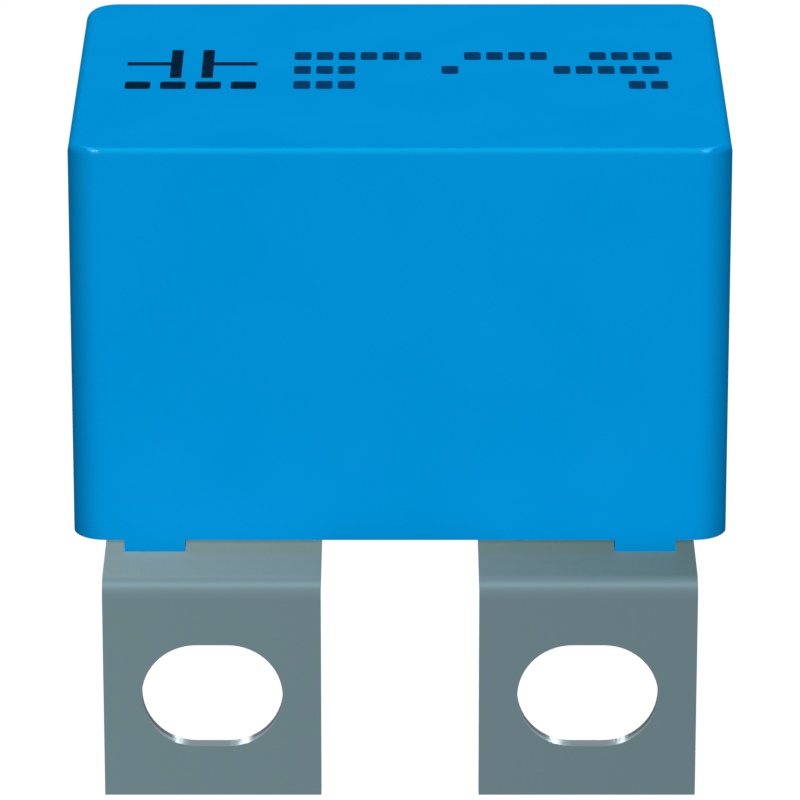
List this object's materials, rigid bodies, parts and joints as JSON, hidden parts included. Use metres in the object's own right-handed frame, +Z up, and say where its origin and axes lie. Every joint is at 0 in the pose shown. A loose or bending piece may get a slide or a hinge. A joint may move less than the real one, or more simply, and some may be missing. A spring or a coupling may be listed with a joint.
{
  "type": "film capacitor",
  "caption": "Box film capacitor: a resin-filled moulded case on two folded strap terminals, slotted to be screwed flat onto a busbar or power module.",
  "frame": {"origin": "midway between the two strap slots, on the straps' seating faces", "axes": "+X along the case, +Z up to the case's roof, -Y out of the seating faces"},
  "size_m": [0.042, 0.0369, 0.042],
  "materials": {
    "case_plastic": "satin",
    "resin": "satin",
    "film": "satin",
    "sprayed_metal": "matte",
    "solder": "satin",
    "tinned_copper": "satin"
  },
  "bodies": {
    "root": {"case": "case_plastic", "potting_resin": "resin", "film_winding": "film", "end_contact_left": "sprayed_metal", "end_contact_right": "sprayed_metal", "solder_joint_left": "solder", "solder_joint_right": "solder", "strap_terminal_left": "tinned_copper", "strap_terminal_right": "tinned_copper"}
  },
  "joints": []
}
